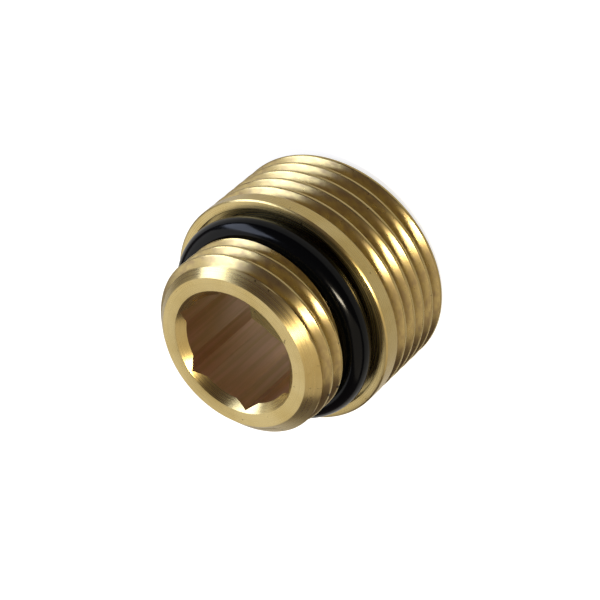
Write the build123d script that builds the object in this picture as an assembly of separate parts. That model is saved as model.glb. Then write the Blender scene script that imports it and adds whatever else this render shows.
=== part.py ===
"""Radiator adapter: a turned brass double nipple with a rubber sealing ring.

The axis is +Z. The part stands on its valve end, and the origin is the centre of that end's face.
The radiator end points up. All sizes are in millimetres.
"""
import os
from math import ceil, radians, tan

from build123d import *

# Pipe threads, parallel, fourteen to the inch with 55 degree flanks, right hand
thread_pitch = 1.814
thread_depth = 1.162
thread_angle = 55.0
radiator_thread_d = 20.955
valve_thread_d = 26.441

# Angles about the axis at which each thread's groove crosses its own end face
radiator_thread_start = 240.0
valve_thread_start = 292.0

# Lengths along the axis, from the radiator end to the valve end
radiator_thread_length = 5.7
neck_length = 3.2
valve_end_length = 11.6

# Radiator end: the flat face round the socket, and the angle of the thread's lead-in
end_face_d = 17.8
lead_in_angle = 45.0

# Neck, cut a little under the thread's root
neck_relief = 0.17

# Collar: the recess in its front takes the ring when the part is screwed home
recess_d = 24.4
recess_depth = 1.0
rim_edge = 0.15
collar_plain = 0.7
runout_turns = 0.25

# Hexagon socket, broached over a drilled pilot and countersunk at its mouth, with flats that face +X and -X
socket_flats = 12.4
socket_turn = 30.0
socket_length = 11.4
pilot_d = 13.0
socket_mouth_d = 14.7
socket_mouth_angle = 90.0

# Valve end: a conical seat that leads to the pipe's bore, and the thread's lead-in
seat_d = 18.6
seat_angle = 30.0
bore_d = 16.2
valve_lead_in = 0.5

# Sealing ring, stretched over the neck, with its inside pressed flat there
ring_section_d = 3.0
ring_squeeze = 0.1
ring_to_thread = 0.1

# Heights of the main faces
rim_z = valve_end_length
recess_z = rim_z - recess_depth
thread_end_z = rim_z + neck_length
top_z = thread_end_z + radiator_thread_length
shoulder_z = top_z - socket_length

# Radii of the turned outside
radiator_r = radiator_thread_d / 2
valve_r = valve_thread_d / 2
neck_r = radiator_r - thread_depth - neck_relief

# The cutter's section: flat at the root, and so little wider than the groove that its turns stay apart
flank_slope = tan(radians(thread_angle / 2))
root_flat = thread_pitch / 2 - thread_depth * flank_slope
cutter_height = thread_depth + root_flat / 3
half_root = root_flat / 2
half_top = half_root + cutter_height * flank_slope


def turned(*corners):
    """A solid turned about the axis, from the corners of its half section as (radius, height)."""
    outline = Polyline(*[(r, 0, z) for r, z in corners], close=True)
    return revolve(make_face(outline), Axis.Z)


def cutter_section(helix, share, lift=0):
    """The cutter square to a helix at a share of its length, drawn out of the work by a lift."""
    on_root = helix @ share
    outward = Vector(on_root.X, on_root.Y, 0).normalized()
    plane = Plane(on_root + outward * lift, x_dir=outward, z_dir=helix % share)
    corners = [(0, half_root), (0, -half_root), (cutter_height, -half_top), (cutter_height, half_top)]
    return plane * make_face(Polyline(*corners, close=True))


def on_thread(piece, low_z, face_z, face_angle):
    """A cutter's pass lifted to a height, on the helix that crosses an end face at an angle."""
    angle = face_angle + 360 * (low_z - face_z) / thread_pitch
    return Pos(0, 0, low_z) * Rot(0, 0, angle) * piece


def thread_turns(major_r, low_z, high_z, face_z, face_angle):
    """A right-hand groove between two heights, as equal passes of a turn or less."""
    passes = ceil((high_z - low_z) / thread_pitch)
    rise = (high_z - low_z) / passes
    helix = Helix(thread_pitch, rise, major_r - thread_depth)
    cut = sweep(cutter_section(helix, 0), path=helix, is_frenet=True)
    return [on_thread(cut, low_z + i * rise, face_z, face_angle) for i in range(passes)]


def thread_runout(major_r, low_z, face_z, face_angle):
    """The stretch in which the cutter is drawn clear of the work at the end of its groove."""
    helix = Helix(thread_pitch, runout_turns * thread_pitch, major_r - thread_depth)
    sections = [cutter_section(helix, 0), cutter_section(helix, 1, lift=cutter_height)]
    cut = sweep(sections, path=helix, is_frenet=True, multisection=True)
    return on_thread(cut, low_z, face_z, face_angle)


def radiator_thread():
    """The upper groove, from the air round the neck to the air past the end face."""
    low_z = thread_end_z - thread_pitch
    high_z = top_z + thread_pitch
    return thread_turns(radiator_r, low_z, high_z, top_z, radiator_thread_start)


def valve_thread():
    """The lower groove, from the air under the part up to its run-out in the collar."""
    runout_z = rim_z - collar_plain - half_top - runout_turns * thread_pitch
    turns = thread_turns(valve_r, -thread_pitch, runout_z, 0, valve_thread_start)
    return turns + [thread_runout(valve_r, runout_z, 0, valve_thread_start)]


def socket():
    """The key's hexagon with its pilot and countersink, from the shoulder up to the end face."""
    mouth_r = socket_mouth_d / 2
    mouth_depth = mouth_r / tan(radians(socket_mouth_angle / 2))
    flats = RegularPolygon(socket_flats / 2, 6, major_radius=False, rotation=socket_turn)
    hexagon = extrude(Plane.XY.offset(shoulder_z) * flats, socket_length)
    pilot = turned((0, shoulder_z), (pilot_d / 2, shoulder_z), (pilot_d / 2, top_z), (0, top_z))
    countersink = turned((0, top_z - mouth_depth), (mouth_r, top_z), (0, top_z))
    return hexagon + pilot + countersink


def seat_and_bore():
    """The cone that a pipe's seal seats in, and the bore that the pipe's end enters, up to the shoulder."""
    seat_r = seat_d / 2
    bore_r = bore_d / 2
    seat_z = (seat_r - bore_r) / tan(radians(seat_angle / 2))
    return turned((0, 0), (seat_r, 0), (bore_r, seat_z), (bore_r, shoulder_z), (0, shoulder_z))


def adapter_body():
    """The turned piece: its outside profile less the threads, the socket, the seat and the bore."""
    end_face_r = end_face_d / 2
    lead_in_z = top_z - (radiator_r - end_face_r) * tan(radians(lead_in_angle))
    blank = turned(
        (0, 0),
        (valve_r - valve_lead_in, 0),
        (valve_r, valve_lead_in),
        (valve_r, rim_z - rim_edge),
        (valve_r - rim_edge, rim_z),
        (recess_d / 2, rim_z),
        (recess_d / 2, recess_z),
        (neck_r, recess_z),
        (neck_r, thread_end_z),
        (radiator_r, thread_end_z),
        (radiator_r, lead_in_z),
        (end_face_r, top_z),
        (0, top_z),
    )
    return blank - socket() - seat_and_bore() - radiator_thread() - valve_thread()


def o_ring():
    """The sealing ring: a round section whose inside lies flat on the neck."""
    section_r = ring_section_d / 2
    ring_z = thread_end_z - ring_to_thread - section_r
    torus = Torus(neck_r + section_r - ring_squeeze, section_r)
    neck = Cylinder(neck_r, neck_length)
    return Pos(0, 0, ring_z) * (torus - neck)


os.makedirs("parts", exist_ok=True)
export_step(adapter_body(), "parts/adapter_body.step")
export_step(o_ring(), "parts/o_ring.step")
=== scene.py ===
"""Looks of a radiator adapter: a turned brass nipple and its rubber sealing ring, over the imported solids."""
from math import atan2, ceil, cos, hypot, pi, radians, sin, tan, tau

import bmesh
import bpy
from bpy.props import FloatProperty, FloatVectorProperty, IntProperty, PointerProperty
from bpy.types import Operator, Panel, PropertyGroup
from mathutils import Matrix, Vector


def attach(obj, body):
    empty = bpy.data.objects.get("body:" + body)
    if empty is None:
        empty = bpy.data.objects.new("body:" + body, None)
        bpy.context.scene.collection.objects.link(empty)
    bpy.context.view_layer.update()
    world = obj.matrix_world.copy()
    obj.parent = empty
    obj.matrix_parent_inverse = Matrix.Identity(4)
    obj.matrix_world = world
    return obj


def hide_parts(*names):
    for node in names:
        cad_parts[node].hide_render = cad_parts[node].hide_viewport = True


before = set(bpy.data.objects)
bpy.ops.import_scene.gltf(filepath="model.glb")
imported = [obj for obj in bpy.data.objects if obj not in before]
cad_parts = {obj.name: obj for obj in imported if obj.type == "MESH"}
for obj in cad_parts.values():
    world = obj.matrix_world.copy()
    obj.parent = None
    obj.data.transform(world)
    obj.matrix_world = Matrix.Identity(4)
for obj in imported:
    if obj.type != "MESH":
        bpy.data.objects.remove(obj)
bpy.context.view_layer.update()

bl_info = {
    "name": "Radiator adapter",
    "version": (1, 0, 0),
    "blender": (4, 5, 0),
    "location": "3D View > Sidebar > Adapter",
    "description": "A brass radiator nipple with its rubber sealing ring",
    "category": "Object",
}

MM = 0.001

# Distances in metres within which points are one, turns of a thread meet, and a point lies on a cut
CLOSE = 2e-7
SEAM = 2e-6
ON_CUT = 1e-8

# Order of the materials on the brass
TURNED, BROACHED, CHASED = range(3)

# Sockets of a colour Mix node, whose names repeat for each kind of data
SHARE, FIRST, SECOND, MIXED = 0, 6, 7, 2

# Middles of the dents beside the ring, in millimetres
DENTS = (-8.75, -5.72, 17.65), (-8.82, -5.6, 15.86), (-6.0, -8.55, 15.05)


def size(name, description, mm):
    """A length that a user may change, given in millimetres."""
    return FloatProperty(name=name, description=description, default=mm * MM, unit="LENGTH", precision=5)


def turn(name, description, degrees):
    """An angle that a user may change, given in degrees."""
    return FloatProperty(name=name, description=description, default=radians(degrees), subtype="ANGLE")


def count(name, description, number):
    """A number of facets or cuts that a user may change."""
    return IntProperty(name=name, description=description, default=number, min=1)


def linear(colour):
    """An sRGB hex colour as linear red, green, blue and alpha."""
    parts = [int(colour[i:i + 2], 16) / 255 for i in (1, 3, 5)]
    return [c / 12.92 if c <= 0.04045 else ((c + 0.055) / 1.055) ** 2.4 for c in parts] + [1.0]


def tint(name, description, colour):
    """A colour that a user may change, given as sRGB hex."""
    return FloatVectorProperty(
        name=name, description=description, default=linear(colour), size=4, subtype="COLOR", min=0, max=1
    )


class ThreadSizes(PropertyGroup):
    """The pipe threads, as standard tables give them."""

    pitch: size("Pitch", "Advance of the helix in one turn", 1.814)
    depth: size("Depth", "From the crest to the root", 1.162)
    flanks: turn("Flank angle", "Angle between the two flanks of the groove", 55)
    radiator_r: size("Radiator thread", "Crest radius of the radiator thread", 20.955 / 2)
    valve_r: size("Valve thread", "Crest radius of the valve thread", 26.441 / 2)
    radiator_start: turn("Radiator start", "Where that groove crosses the radiator end's face", 240)
    valve_start: turn("Valve start", "Where that groove crosses the valve end's face", 292)
    crest_edge: size("Crest edge", "Rounding on the edges of the crests", 0.13)
    root_edge: size("Root edge", "Rounding in the corners of the roots", 0.145)
    runout: FloatProperty(name="Run-out", description="Turns in which the groove rises out of the collar", default=0.25)
    steps: count("Steps", "Facets in a turn of thread", 144)
    edge_steps: count("Edge steps", "Facets in the rounding of a crest or root", 5)
    flank_cuts: count("Flank cuts", "Cuts across each flank, so that lead-in and run-out shape it smoothly", 5)


class BodySizes(PropertyGroup):
    """The turned and broached form, with heights above the valve end's face."""

    top_z: size("Radiator face", "Height of the radiator end's face", 20.5)
    thread_end_z: size("Thread end", "Height at which the radiator thread meets the neck", 14.8)
    rim_z: size("Rim", "Height of the collar's rim", 11.6)
    recess_z: size("Recess floor", "Height of the floor of the ring's recess", 10.6)
    shoulder_z: size("Shoulder", "Height at which the hexagon meets the bore", 9.1)
    face_r: size("Face", "Outer radius of the radiator end's face", 8.9)
    lead_in: turn("Lead-in", "Slope of the radiator thread's lead-in", 45)
    neck_r: size("Neck", "Radius of the neck", 20.955 / 2 - 1.162 - 0.17)
    recess_r: size("Recess", "Radius of the ring's recess", 12.2)
    rim_edge: size("Rim edge", "Chamfer on the outside of the rim", 0.15)
    collar_plain: size("Collar", "Plain band between the rim and the thread's end", 0.7)
    flat_r: size("Hexagon", "From the axis to a flat of the socket", 6.2)
    pilot_r: size("Pilot", "Radius of the hole drilled before the hexagon", 6.5)
    mouth_r: size("Mouth", "Radius of the countersink at the face", 7.35)
    seat_r: size("Seat", "Radius of the conical seat at the valve end", 9.3)
    seat_angle: turn("Seat angle", "Angle across the conical seat", 30)
    bore_r: size("Bore", "Radius of the bore behind the seat", 8.1)
    valve_lead_in: size("Valve lead-in", "Chamfer at the start of the valve thread", 0.5)
    broken_edge: size("Broken edge", "Width to which turned edges are broken", 0.06)
    socket_steps: count("Socket steps", "Facets round the socket, a multiple of 12 so that its corners are sharp", 720)


class RingSizes(PropertyGroup):
    """The sealing ring."""

    section_r: size("Section", "Radius of the ring's section", 1.5)
    squeeze: size("Squeeze", "How far its inside is pressed flat on the neck", 0.1)
    thread_gap: size("Gap", "From the ring to the radiator thread", 0.1)
    steps: count("Steps", "Facets round the ring", 192)
    section_steps: count("Section steps", "Facets round its section", 56)


class Finishes(PropertyGroup):
    """Colours of the bare metal and the rubber."""

    brass: tint("Brass", "Freshly turned brass", "#BEAB76")
    brass_worn: tint("Worn brass", "Brass that has dulled a little in handling", "#B29C62")
    # The socket's colour is paler and pinker than the turned brass. Part of that is its torn grain, and part is painted
    # light that lightens the inside of the socket.
    broached_and_lightened: tint("Broached brass", "Torn grain on the walls of the socket", "#DDBBA2")
    # A dark colour laid into the pits and the three dents, which have no form of their own and are drawn only in this
    # colour.
    dent: tint("Dents", "Dirt in pits and dents", "#3A3020")
    film: tint("Film", "Brown film that stays in the grooves", "#8A7064")
    rubber: tint("Rubber", "Black sealing rubber", "#020304")


class StageSettings(PropertyGroup):
    """Camera, lamps and floor."""

    azimuth: turn("Azimuth", "Way that the camera looks from", 12.14)
    elevation: turn("Elevation", "Height of the camera above the floor, as an angle", 42.8)
    roll: turn("Roll", "Turn of the camera about its own axis", -131.66)
    aim: FloatVectorProperty(
        name="Aim", description="Point at the picture's middle",
        default=(0.13 * MM, -2.85 * MM, 11.06 * MM), unit="LENGTH",
    )
    distance: size("Distance", "From the camera to that point", 255)
    lens: FloatProperty(name="Lens", description="Focal length in millimetres on a 36 mm frame", default=145.7)
    floor: tint("Floor", "Pale paper under the part", "#AAAAA8")
    floor_gap: size("Floor gap", "From the part down to the floor, so that the two don't coincide", 0.01)
    floor_half: size("Floor half", "Half the side of the floor", 3000)
    floor_seen: FloatProperty(name="Floor seen", description="White added to the floor for the camera", default=0.78)
    floor_mirrored: FloatProperty(
        name="Floor mirrored", description="White added to the floor in the metal's reflections", default=0.22
    )
    lamp_distance: size("Lamps", "From each lamp to the part", 450)
    room: tint("Room", "Dim light of the room round the part", "#5E5254")


def place(vert, radius, z):
    """Moves a vertex to a radius and a height, at its own angle about the axis."""
    angle = atan2(vert.co.y, vert.co.x)
    vert.co = (radius * cos(angle), radius * sin(angle), z)


def open_edges(bm, z):
    """Edges at a height that lack a face on one side."""
    return [e for e in bm.edges if len(e.link_faces) < 2 and all(abs(v.co.z - z) < CLOSE for v in e.verts)]


def drawn(bm, edges, radius, z):
    """Extrudes a loop to a radius and a height, either of them a number or a function of the angle."""
    geom = bmesh.ops.extrude_edge_only(bm, edges=edges)["geom"]
    verts = {g for g in geom if isinstance(g, bmesh.types.BMVert)}
    for vert in verts:
        angle = atan2(vert.co.y, vert.co.x)
        place(vert, radius(angle) if callable(radius) else radius, z(angle) if callable(z) else z)
    return [g for g in geom if isinstance(g, bmesh.types.BMEdge) and set(g.verts) <= verts]


def flat_face(bm, z):
    """Fills the flat between the two open loops at a height."""
    bmesh.ops.triangle_fill(bm, edges=open_edges(bm, z), use_beauty=True, normal=(0, 0, 1))


def thread_section(bm, thread, major_r, z):
    """One turn's section in the XZ plane, from crest to crest round its groove, with its edges rounded."""
    half_flat = thread.pitch / 4 - thread.depth * tan(thread.flanks / 2) / 2
    half_pitch = thread.pitch / 2
    root_r = major_r - thread.depth
    corners = (
        (major_r, -half_pitch),
        (major_r, half_flat - half_pitch),
        (root_r, -half_flat),
        (root_r, half_flat),
        (major_r, half_pitch - half_flat),
        (major_r, half_pitch),
    )
    verts = [bm.verts.new((r, 0, z + height)) for r, height in corners]
    for pair in zip(verts, verts[1:]):
        bm.edges.new(pair)
    crest_corners = verts[1], verts[4]
    root_corners = verts[2], verts[3]
    for rounded, width in ((crest_corners, thread.crest_edge), (root_corners, thread.root_edge)):
        bmesh.ops.bevel(
            bm, geom=rounded, offset=width, offset_type="OFFSET", segments=thread.edge_steps, profile=0.5,
            affect="VERTICES", material=-1,
        )
    flanks = [e for e in bm.edges if e.calc_length() > thread.depth / 2]
    bmesh.ops.subdivide_edges(bm, edges=flanks, cuts=thread.flank_cuts)


def thread_sleeve(thread, major_r, low_z, high_z, face_z, face_angle, limit):
    """A threaded outside between two heights, cut down to a limit that is given for each height."""
    bm = bmesh.new()
    at_zero = face_z - thread.pitch * face_angle / tau
    # The turns start wholly under the low end and go on past the high one, and are cut to length after that
    first = at_zero + thread.pitch * ceil((low_z - at_zero) / thread.pitch - 2)
    turns = ceil((high_z - first) / thread.pitch + 0.6)
    thread_section(bm, thread, major_r, first)
    bmesh.ops.spin(
        bm, geom=bm.verts[:] + bm.edges[:], axis=(0, 0, 1), dvec=(0, 0, thread.pitch / thread.steps),
        angle=tau, steps=thread.steps, use_merge=False,
    )
    one_turn = bm.verts[:] + bm.edges[:] + bm.faces[:]
    for above in range(1, turns):
        copy = bmesh.ops.duplicate(bm, geom=one_turn)["geom"]
        verts = [g for g in copy if isinstance(g, bmesh.types.BMVert)]
        bmesh.ops.translate(bm, verts=verts, vec=(0, 0, above * thread.pitch))
    bmesh.ops.remove_doubles(bm, verts=bm.verts, dist=SEAM)
    limit(bm, at_zero)
    for z, normal in ((low_z, -1), (high_z, 1)):
        bmesh.ops.bisect_plane(
            bm, geom=bm.verts[:] + bm.edges[:] + bm.faces[:], dist=ON_CUT, plane_co=(0, 0, z),
            plane_no=(0, 0, normal), clear_outer=True,
        )
    return bm


def join(bm, other):
    """Adds another mesh to this one."""
    mesh = bpy.data.meshes.new("joined")
    other.to_mesh(mesh)
    other.free()
    bm.from_mesh(mesh)
    bpy.data.meshes.remove(mesh)


def radiator_sleeve(thread, body):
    """The radiator thread, with its sloping lead-in up to the face."""

    def lead_in(bm, at_zero):
        for vert in bm.verts:
            cone_r = body.face_r + (body.top_z - vert.co.z) / tan(body.lead_in)
            if hypot(vert.co.x, vert.co.y) > cone_r:
                place(vert, cone_r, vert.co.z)

    return thread_sleeve(
        thread, thread.radiator_r, body.thread_end_z, body.top_z, body.top_z, thread.radiator_start, lead_in
    )


def valve_sleeve(thread, body):
    """The valve thread and the collar, in which its groove runs out."""
    slope = tan(thread.flanks / 2)
    half_root = thread.pitch / 4 - thread.depth * slope / 2
    reach = thread.depth + half_root * 2 / 3
    rise = thread.runout * thread.pitch
    runout_z = body.rim_z - body.collar_plain - half_root - reach * slope - rise

    def ends(bm, at_zero):
        for vert in bm.verts:
            radius = hypot(vert.co.x, vert.co.y)
            on_helix = at_zero + thread.pitch * atan2(vert.co.y, vert.co.x) / tau
            groove_z = on_helix + thread.pitch * round((vert.co.z - on_helix) / thread.pitch)
            lift = reach * min(max((groove_z - runout_z) / rise, 0), 1)
            cone_r = thread.valve_r - body.valve_lead_in + vert.co.z
            place(vert, min(radius + lift, thread.valve_r, cone_r), vert.co.z)

    return thread_sleeve(thread, thread.valve_r, 0, body.rim_z - body.rim_edge, 0, thread.valve_start, ends)


def cut_by(face, body):
    """The finish of a face, told by its place and slope: upright in the socket, as steep as a flank, or other."""
    # The flanks' normals rise at 62.5 degrees, so they are 0.89 upright; the helix and the roundings spread that
    least, most = 0.8, 0.95
    middle = face.calc_center_median()
    upright = abs(face.normal.z)
    in_socket = hypot(middle.x, middle.y) < body.mouth_r and middle.z > body.shoulder_z
    if in_socket and upright < 0.5:
        return BROACHED
    if least < upright < most:
        return CHASED
    return TURNED


def broken(bm, radius, z, width):
    """Breaks the turned edge that runs round at a radius and a height."""
    edges = [
        e for e in bm.edges
        if all(abs(v.co.z - z) < CLOSE and abs(hypot(v.co.x, v.co.y) - radius) < CLOSE for v in e.verts)
    ]
    bmesh.ops.bevel(
        bm, geom=edges, offset=width, offset_type="OFFSET", segments=2, profile=0.5, affect="EDGES",
        clamp_overlap=True, material=-1,
    )


def nipple(thread, body):
    """The whole brass piece as one closed mesh."""
    bm = bmesh.new()
    join(bm, radiator_sleeve(thread, body))
    join(bm, valve_sleeve(thread, body))

    collar = open_edges(bm, body.rim_z - body.rim_edge)
    collar = drawn(bm, collar, thread.valve_r - body.rim_edge, body.rim_z)
    collar = drawn(bm, collar, body.recess_r, body.rim_z)
    collar = drawn(bm, collar, body.recess_r, body.recess_z)
    collar = drawn(bm, collar, body.neck_r, body.recess_z)
    drawn(bm, collar, body.neck_r, body.thread_end_z)
    flat_face(bm, body.thread_end_z)

    def socket_r(angle):
        from_flat = (angle + pi / 6) % (pi / 3) - pi / 6
        return max(body.pilot_r, body.flat_r / cos(from_flat))

    def scallop_z(angle):
        return body.top_z - (body.mouth_r - socket_r(angle))

    made = bmesh.ops.create_circle(
        bm, segments=body.socket_steps, radius=body.mouth_r, matrix=Matrix.Translation((0, 0, body.top_z))
    )
    mouth = list(dict.fromkeys(e for v in made["verts"] for e in v.link_edges))
    scallops = drawn(bm, mouth, socket_r, scallop_z)
    wall = drawn(bm, scallops, socket_r, body.shoulder_z)
    bore = drawn(bm, wall, body.bore_r, body.shoulder_z)
    seat_z = (body.seat_r - body.bore_r) / tan(body.seat_angle / 2)
    seat = drawn(bm, bore, body.bore_r, seat_z)
    drawn(bm, seat, body.seat_r, 0)
    flat_face(bm, body.top_z)
    flat_face(bm, 0)

    bmesh.ops.remove_doubles(bm, verts=bm.verts, dist=CLOSE)
    bmesh.ops.recalc_face_normals(bm, faces=bm.faces)
    for face in bm.faces:
        face.material_index = cut_by(face, body)
    for radius, z in (
        (body.mouth_r, body.top_z),
        (body.recess_r, body.rim_z),
        (thread.valve_r - body.rim_edge, body.rim_z),
        (body.seat_r, 0),
    ):
        broken(bm, radius, z, body.broken_edge)
    return bm


def sealing_ring(body, ring):
    """The rubber ring, its inside pressed flat on the neck."""
    bm = bmesh.new()
    z = body.thread_end_z - ring.thread_gap - ring.section_r
    centre_r = body.neck_r + ring.section_r - ring.squeeze
    upright = Matrix.Translation((centre_r, 0, z)) @ Matrix.Rotation(pi / 2, 4, "X")
    bmesh.ops.create_circle(bm, segments=ring.section_steps, radius=ring.section_r, matrix=upright)
    bmesh.ops.spin(
        bm, geom=bm.verts[:] + bm.edges[:], axis=(0, 0, 1), angle=tau, steps=ring.steps, use_merge=True
    )
    bmesh.ops.remove_doubles(bm, verts=bm.verts, dist=SEAM)
    for vert in bm.verts:
        if hypot(vert.co.x, vert.co.y) < body.neck_r:
            place(vert, body.neck_r, vert.co.z)
    return bm


def piece(bm, name, node, materials, sharp):
    """Makes a closed mesh a piece that stands for a node of the frame, smooth but for edges past a sharp angle."""
    bmesh.ops.remove_doubles(bm, verts=bm.verts, dist=CLOSE)
    bmesh.ops.recalc_face_normals(bm, faces=bm.faces)
    if any(len(edge.link_faces) != 2 for edge in bm.edges):
        raise RuntimeError(f"the mesh of {name} isn't closed")
    for face in bm.faces:
        face.smooth = True
    mesh = bpy.data.meshes.new(name)
    bm.to_mesh(mesh)
    bm.free()
    mesh.set_sharp_from_angle(angle=sharp)
    for material in materials:
        mesh.materials.append(material)
    made = bpy.data.objects.new(name, mesh)
    bpy.context.scene.collection.objects.link(made)
    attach(made, "root")
    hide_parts(node)


def add(tree, kind, inputs=(), **settings):
    """Adds a node with its settings, and gives its inputs values or links them to other nodes' outputs."""
    node = tree.nodes.new(kind)
    for name, value in settings.items():
        setattr(node, name, value)
    for key, value in dict(inputs).items():
        if isinstance(value, bpy.types.NodeSocket):
            tree.links.new(value, node.inputs[key])
        else:
            node.inputs[key].default_value = value
    return node


def new_material(name):
    """An empty node material, its tree, its output and the piece's own coordinates."""
    material = bpy.data.materials.new(name)
    material.use_nodes = True
    tree = material.node_tree
    tree.nodes.clear()
    output = add(tree, "ShaderNodeOutputMaterial")
    where = add(tree, "ShaderNodeTexCoord").outputs["Object"]
    return material, tree, output, where


def knocks(tree, where):
    """Dark where the radiator thread has been knocked, in three dents of about 0.4 mm beside the ring."""
    share = 0.0
    for dent in DENTS:
        away = add(
            tree, "ShaderNodeVectorMath", {0: where, 1: [c * MM for c in dent]}, operation="DISTANCE"
        ).outputs["Value"]
        dark = add(
            tree, "ShaderNodeMapRange",
            {"Value": away, "From Min": 0.3 * MM, "From Max": 0.15 * MM, "To Max": 0.9},
        ).outputs[0]
        share = add(tree, "ShaderNodeMath", {0: dark, 1: share}, operation="MAXIMUM").outputs[0]
    return share


def turned_brass(colours):
    """Bare brass off the lathe.

    The tool leaves fine rings round the axis, which draw the light out across them. Handling leaves faint
    dull patches and a few dark pits.
    """
    material, tree, output, where = new_material("turned brass")
    xyz = add(tree, "ShaderNodeSeparateXYZ", {0: where}).outputs
    flat = add(tree, "ShaderNodeCombineXYZ", {0: xyz[0], 1: xyz[1]}).outputs[0]
    radius = add(tree, "ShaderNodeVectorMath", {0: flat}, operation="LENGTH").outputs["Value"]
    # Height counts more than radius, so that the rings don't vanish on the lead-in's 45 degree slope
    along = add(tree, "ShaderNodeMath", {0: xyz[2], 1: 1.7, 2: radius}, operation="MULTIPLY_ADD").outputs[0]
    # The feed is about 0.1 mm a turn, drawn twice as coarse as that so that it shows
    rings = add(
        tree, "ShaderNodeTexNoise", {"W": along, "Scale": 1 / (0.2 * MM), "Detail": 2.0}, noise_dimensions="1D"
    ).outputs[0]
    # Hands dull it in patches of about 4 mm
    patches = add(tree, "ShaderNodeTexNoise", {"Vector": where, "Scale": 1 / (4 * MM), "Detail": 4.0}).outputs[0]
    worn = add(tree, "ShaderNodeMapRange", {"Value": patches, "From Min": 0.4, "From Max": 0.7}).outputs[0]
    colour = add(
        tree, "ShaderNodeMix", {SHARE: worn, FIRST: colours.brass, SECOND: colours.brass_worn}, data_type="RGBA"
    ).outputs[MIXED]
    # Pits are about 0.2 mm across
    specks = add(tree, "ShaderNodeTexNoise", {"Vector": where, "Scale": 1 / (0.6 * MM), "Detail": 3.0}).outputs[0]
    pits = add(
        tree, "ShaderNodeMapRange", {"Value": specks, "From Min": 0.7, "From Max": 0.74, "To Max": 0.8}
    ).outputs[0]
    marks = add(tree, "ShaderNodeMath", {0: pits, 1: knocks(tree, where)}, operation="MAXIMUM").outputs[0]
    colour = add(
        tree, "ShaderNodeMix", {SHARE: marks, FIRST: colour, SECOND: colours.dent}, data_type="RGBA"
    ).outputs[MIXED]
    tangent = add(tree, "ShaderNodeTangent", direction_type="RADIAL", axis="Z").outputs[0]
    rough = add(
        tree, "ShaderNodeMapRange",
        {"Value": rings, "From Min": 0.3, "From Max": 0.7, "To Min": 0.24, "To Max": 0.32},
    ).outputs[0]
    bump = add(tree, "ShaderNodeBump", {"Strength": 0.25, "Distance": 0.004 * MM, "Height": rings}).outputs[0]
    shader = add(
        tree, "ShaderNodeBsdfPrincipled",
        {
            "Base Color": colour, "Metallic": 1.0, "Roughness": rough, "Normal": bump,
            "Anisotropic": 0.66, "Anisotropic Rotation": 0.25, "Tangent": tangent,
        },
    )
    tree.links.new(shader.outputs[0], output.inputs[0])
    return material


def chased_brass(colours):
    """Brass on the flanks of the threads.

    The chaser leaves them rougher than a turned face, and a thin brown film stays in the grooves.
    """
    material, tree, output, where = new_material("chased brass")
    round_axis = add(tree, "ShaderNodeMapping", {"Vector": where, "Scale": (1, 1, 4)}).outputs[0]
    # The film lies in smears of about 1 mm round the axis, and a quarter of that across them
    smears = add(tree, "ShaderNodeTexNoise", {"Vector": round_axis, "Scale": 1 / MM, "Detail": 5.0}).outputs[0]
    share = add(
        tree, "ShaderNodeMapRange", {"Value": smears, "From Min": 0.42, "From Max": 0.68, "To Max": 0.42}
    ).outputs[0]
    colour = add(
        tree, "ShaderNodeMix", {SHARE: share, FIRST: colours.brass, SECOND: colours.film}, data_type="RGBA"
    ).outputs[MIXED]
    colour = add(
        tree, "ShaderNodeMix", {SHARE: knocks(tree, where), FIRST: colour, SECOND: colours.dent}, data_type="RGBA"
    ).outputs[MIXED]
    rough = add(
        tree, "ShaderNodeMapRange",
        {"Value": smears, "From Min": 0.3, "From Max": 0.7, "To Min": 0.26, "To Max": 0.36},
    ).outputs[0]
    tangent = add(tree, "ShaderNodeTangent", direction_type="RADIAL", axis="Z").outputs[0]
    bump = add(tree, "ShaderNodeBump", {"Strength": 0.45, "Distance": 0.01 * MM, "Height": smears}).outputs[0]
    shader = add(
        tree, "ShaderNodeBsdfPrincipled",
        {
            "Base Color": colour, "Metallic": 1.0, "Roughness": rough, "Normal": bump,
            "Anisotropic": 0.85, "Anisotropic Rotation": 0.25, "Tangent": tangent,
        },
    )
    tree.links.new(shader.outputs[0], output.inputs[0])
    return material


def broached_brass(colours):
    """Brass torn by the broach that cut the hexagon.

    Long scratches run along the axis and the grain between them is redder and duller than a turned face. Its colour is
    also paler than a turned face's, and that is painted light that lightens the inside of the socket.
    """
    material, tree, output, where = new_material("broached brass")
    drawn_out = add(tree, "ShaderNodeMapping", {"Vector": where, "Scale": (1, 1, 0.04)}).outputs[0]
    # Scratches lie about 0.25 mm apart, drawn twice as coarse as that so that they show
    streaks = add(
        tree, "ShaderNodeTexNoise", {"Vector": drawn_out, "Scale": 1 / (0.5 * MM), "Detail": 3.0}
    ).outputs[0]
    share = add(
        tree, "ShaderNodeMapRange", {"Value": streaks, "From Min": 0.35, "From Max": 0.65, "To Max": 0.5}
    ).outputs[0]
    # The socket's own colour is paler than the turned brass, and carries painted light that lightens the inside of the
    # socket.
    colour = add(
        tree, "ShaderNodeMix", {SHARE: share, FIRST: colours.broached_and_lightened, SECOND: colours.brass_worn}, data_type="RGBA"
    ).outputs[MIXED]
    bump = add(tree, "ShaderNodeBump", {"Strength": 0.3, "Distance": 0.02 * MM, "Height": streaks}).outputs[0]
    shader = add(
        tree, "ShaderNodeBsdfPrincipled",
        {"Base Color": colour, "Metallic": 1.0, "Roughness": 0.34, "Normal": bump},
    )
    tree.links.new(shader.outputs[0], output.inputs[0])
    return material


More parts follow.
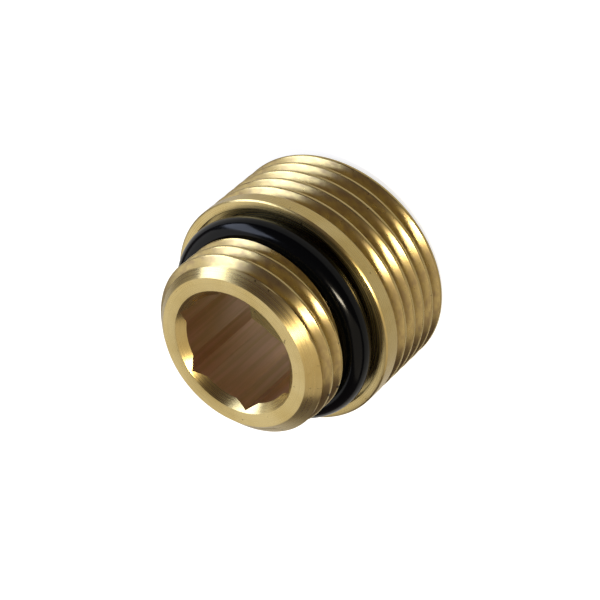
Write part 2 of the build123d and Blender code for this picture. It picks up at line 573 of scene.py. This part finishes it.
def moulded_rubber(colours):
    """Moulded EPDM rubber, the usual black of seals for hot water.

    It is smooth and slightly shiny, with a soft broad highlight and a fine bloom.
    """
    material, tree, output, where = new_material("moulded EPDM rubber")
    # Bloom and dust lie in patches of about 0.6 mm
    bloom = add(tree, "ShaderNodeTexNoise", {"Vector": where, "Scale": 1 / (0.6 * MM), "Detail": 3.0}).outputs[0]
    rough = add(
        tree, "ShaderNodeMapRange",
        {"Value": bloom, "From Min": 0.3, "From Max": 0.7, "To Min": 0.12, "To Max": 0.18},
    ).outputs[0]
    bump = add(tree, "ShaderNodeBump", {"Strength": 0.1, "Distance": 0.01 * MM, "Height": bloom}).outputs[0]
    shader = add(
        tree, "ShaderNodeBsdfPrincipled",
        {"Base Color": colours.rubber, "Roughness": rough, "IOR": 1.5, "Specular IOR Level": 0.14, "Normal": bump},
    )
    tree.links.new(shader.outputs[0], output.inputs[0])
    return material


def floor_paper(settings):
    """White paper, bright to the camera and in the metal's reflections, with the part's own shadow on it."""
    material, tree, output, where = new_material("white paper")
    light = add(tree, "ShaderNodeLightPath").outputs
    mirrored = add(
        tree, "ShaderNodeMath", {0: light["Is Glossy Ray"], 1: light["Is Transmission Ray"]}, operation="MAXIMUM"
    ).outputs[0]
    in_metal = add(tree, "ShaderNodeMath", {0: mirrored, 1: settings.floor_mirrored}, operation="MULTIPLY").outputs[0]
    strength = add(
        tree, "ShaderNodeMath", {0: light["Is Camera Ray"], 1: settings.floor_seen, 2: in_metal},
        operation="MULTIPLY_ADD",
    ).outputs[0]
    paper = add(tree, "ShaderNodeBsdfDiffuse", {"Color": settings.floor}).outputs[0]
    white = add(tree, "ShaderNodeEmission", {"Color": (1, 1, 1, 1), "Strength": strength}).outputs[0]
    mixed = add(tree, "ShaderNodeAddShader", {0: paper, 1: white}).outputs[0]
    tree.links.new(mixed, output.inputs[0])
    return material


def floor(settings):
    """The paper that the part stands on."""
    bm = bmesh.new()
    bmesh.ops.create_grid(
        bm, x_segments=1, y_segments=1, size=settings.floor_half,
        matrix=Matrix.Translation((0, 0, -settings.floor_gap)),
    )
    mesh = bpy.data.meshes.new("floor")
    bm.to_mesh(mesh)
    bm.free()
    mesh.materials.append(floor_paper(settings))
    made = bpy.data.objects.new("floor", mesh)
    bpy.context.scene.collection.objects.link(made)


def lamp(name, distance, azimuth, elevation, width, height, strength, colour):
    """A soft panel, its sides in metres, that shines at the part from angles in degrees, as bright as strength says."""
    data = bpy.data.lights.new(name, "AREA")
    data.shape = "RECTANGLE"
    data.size = width
    data.size_y = height
    data.energy = strength * pi * width * height
    data.color = linear(colour)[:3]
    made = bpy.data.objects.new(name, data)
    a, e = radians(azimuth), radians(elevation)
    back = Vector((cos(a) * cos(e), sin(a) * cos(e), sin(e)))
    part_middle = Vector((0, 0, 10 * MM))
    made.location = part_middle + back * distance
    made.rotation_mode = "QUATERNION"
    made.rotation_quaternion = back.to_track_quat("Z", "Y")
    bpy.context.scene.collection.objects.link(made)


def lamps(away):
    """A bright panel, two wide dim ones, and a small strong lamp that makes the glints on the threads' flanks."""
    lamp("left panel", away, azimuth=18, elevation=34, width=0.19, height=0.42, strength=6.6, colour="#DAE5FF")
    lamp("far panel", away, azimuth=76, elevation=40, width=0.58, height=0.36, strength=1.12, colour="#FFFFFF")
    lamp("side panel", away, azimuth=198, elevation=40, width=0.46, height=0.44, strength=0.8, colour="#FFF3DD")
    lamp("high lamp", away, azimuth=240, elevation=62, width=0.05, height=0.15, strength=72, colour="#FFF2D6")


def camera(settings):
    """The photograph's camera, rolled so that the part's axis points down to the left."""
    data = bpy.data.cameras.new("camera")
    data.lens = settings.lens
    data.sensor_width = 36
    data.clip_start = 0.01
    data.clip_end = 10
    made = bpy.data.objects.new("camera", data)
    a, e = settings.azimuth, settings.elevation
    back = Vector((sin(a) * cos(e), -cos(a) * cos(e), sin(e)))
    level = Vector((cos(a), sin(a), 0))
    right = level * cos(settings.roll) + back.cross(level) * sin(settings.roll)
    turned = Matrix((right, back.cross(right), back)).transposed()
    made.matrix_world = Matrix.Translation(Vector(settings.aim) + back * settings.distance) @ turned.to_4x4()
    bpy.context.scene.collection.objects.link(made)
    bpy.context.scene.camera = made


class ADAPTER_OT_brass_nipple(Operator):
    """Make the brass nipple"""

    bl_idname = "adapter.brass_nipple"
    bl_label = "Brass nipple"

    def execute(self, context):
        scene = context.scene
        bm = nipple(scene.adapter_thread, scene.adapter_body)
        colours = scene.adapter_finishes
        materials = [turned_brass(colours), broached_brass(colours), chased_brass(colours)]
        piece(bm, "brass_nipple", "adapter_body", materials, sharp=radians(14))
        return {"FINISHED"}


class ADAPTER_OT_sealing_ring(Operator):
    """Make the rubber sealing ring"""

    bl_idname = "adapter.sealing_ring"
    bl_label = "Sealing ring"

    def execute(self, context):
        scene = context.scene
        bm = sealing_ring(scene.adapter_body, scene.adapter_ring)
        materials = [moulded_rubber(scene.adapter_finishes)]
        piece(bm, "sealing_ring", "o_ring", materials, sharp=radians(40))
        return {"FINISHED"}


class ADAPTER_OT_stage(Operator):
    """Set the floor, the lamps and the camera"""

    bl_idname = "adapter.stage"
    bl_label = "Stage"

    def execute(self, context):
        scene = context.scene
        settings = scene.adapter_stage
        floor(settings)
        lamps(settings.lamp_distance)
        world = bpy.data.worlds.new("studio")
        world.use_nodes = True
        world.node_tree.nodes["Background"].inputs["Color"].default_value = settings.room
        world.node_tree.nodes["Background"].inputs["Strength"].default_value = 1.0
        scene.world = world
        scene.view_settings.view_transform = "Standard"
        camera(settings)
        return {"FINISHED"}


class ADAPTER_PT_panel(Panel):
    """The adapter's pieces in the sidebar"""

    bl_idname = "ADAPTER_PT_panel"
    bl_label = "Radiator adapter"
    bl_space_type = "VIEW_3D"
    bl_region_type = "UI"
    bl_category = "Adapter"

    def draw(self, context):
        for operator in OPERATORS:
            self.layout.operator(operator.bl_idname)
        for name in GROUPS:
            group = getattr(context.scene, name)
            box = self.layout.box()
            for key in group.bl_rna.properties.keys():
                if key not in {"rna_type", "name"}:
                    box.prop(group, key)


OPERATORS = (ADAPTER_OT_brass_nipple, ADAPTER_OT_sealing_ring, ADAPTER_OT_stage)
GROUPS = {
    "adapter_thread": ThreadSizes,
    "adapter_body": BodySizes,
    "adapter_ring": RingSizes,
    "adapter_finishes": Finishes,
    "adapter_stage": StageSettings,
}


def register():
    for name, group in GROUPS.items():
        bpy.utils.register_class(group)
        setattr(bpy.types.Scene, name, PointerProperty(type=group))
    for kind in (*OPERATORS, ADAPTER_PT_panel):
        bpy.utils.register_class(kind)


def unregister():
    for kind in (ADAPTER_PT_panel, *reversed(OPERATORS)):
        bpy.utils.unregister_class(kind)
    for name, group in reversed(GROUPS.items()):
        delattr(bpy.types.Scene, name)
        bpy.utils.unregister_class(group)


def main():
    register()
    bpy.ops.adapter.brass_nipple()
    bpy.ops.adapter.sealing_ring()
    bpy.ops.adapter.stage()


if __name__ == "__main__":
    main()
